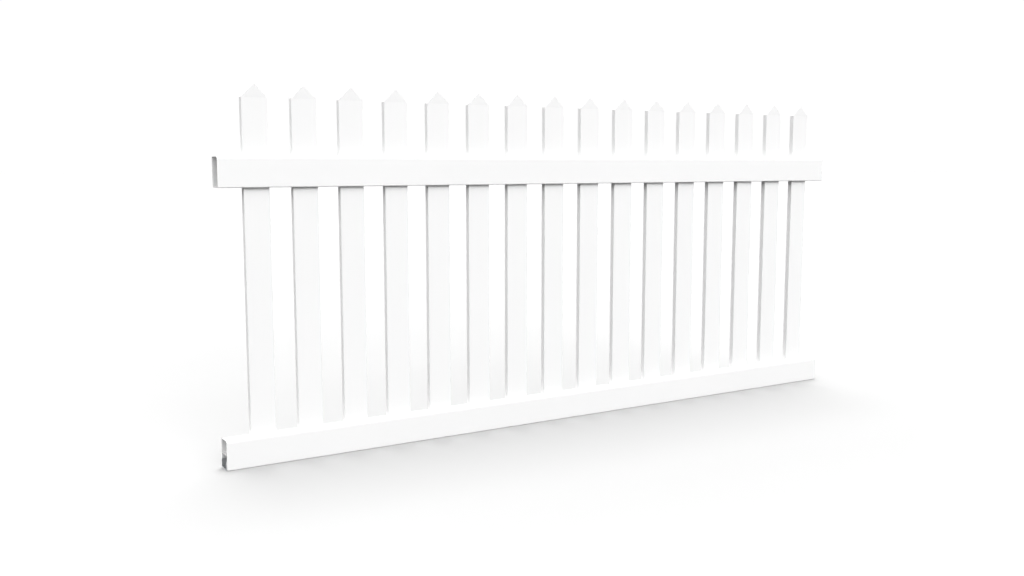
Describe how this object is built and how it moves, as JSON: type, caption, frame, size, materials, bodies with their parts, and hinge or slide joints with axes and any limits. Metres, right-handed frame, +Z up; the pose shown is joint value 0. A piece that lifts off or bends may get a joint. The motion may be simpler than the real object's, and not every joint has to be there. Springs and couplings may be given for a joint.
{
  "type": "picket fence panel",
  "caption": "White PVC picket fence panel: hollow pickets with pointed tops run through a top rail and stand in a bottom rail, open at both rail ends to fit between posts.",
  "frame": {"origin": "middle of the bottom rail's flat underside", "axes": "+X along the rails, +Y from the front face to the back face, +Z up"},
  "size_m": [2.4424, 0.0508, 1.1063],
  "materials": {
    "rail_pvc": "satin white PVC extrusion",
    "picket_pvc": "satin white PVC extrusion",
    "cap_pvc": "satin white moulded PVC",
    "mill_aluminium": "mill"
  },
  "bodies": {
    "root": {"bottom_rail": "rail_pvc", "bottom_rail_stiffener": "mill_aluminium", "top_rail": "rail_pvc", "picket_01": "picket_pvc", "picket_02": "picket_pvc", "picket_03": "picket_pvc", "picket_04": "picket_pvc", "picket_05": "picket_pvc", "picket_06": "picket_pvc", "picket_07": "picket_pvc", "picket_08": "picket_pvc", "picket_09": "picket_pvc", "picket_10": "picket_pvc", "picket_11": "picket_pvc", "picket_12": "picket_pvc", "picket_13": "picket_pvc", "picket_14": "picket_pvc", "picket_15": "picket_pvc", "picket_16": "picket_pvc", "picket_cap_01": "cap_pvc", "picket_cap_02": "cap_pvc", "picket_cap_03": "cap_pvc", "picket_cap_04": "cap_pvc", "picket_cap_05": "cap_pvc", "picket_cap_06": "cap_pvc", "picket_cap_07": "cap_pvc", "picket_cap_08": "cap_pvc", "picket_cap_09": "cap_pvc", "picket_cap_10": "cap_pvc", "picket_cap_11": "cap_pvc", "picket_cap_12": "cap_pvc", "picket_cap_13": "cap_pvc", "picket_cap_14": "cap_pvc", "picket_cap_15": "cap_pvc", "picket_cap_16": "cap_pvc"}
  },
  "joints": []
}
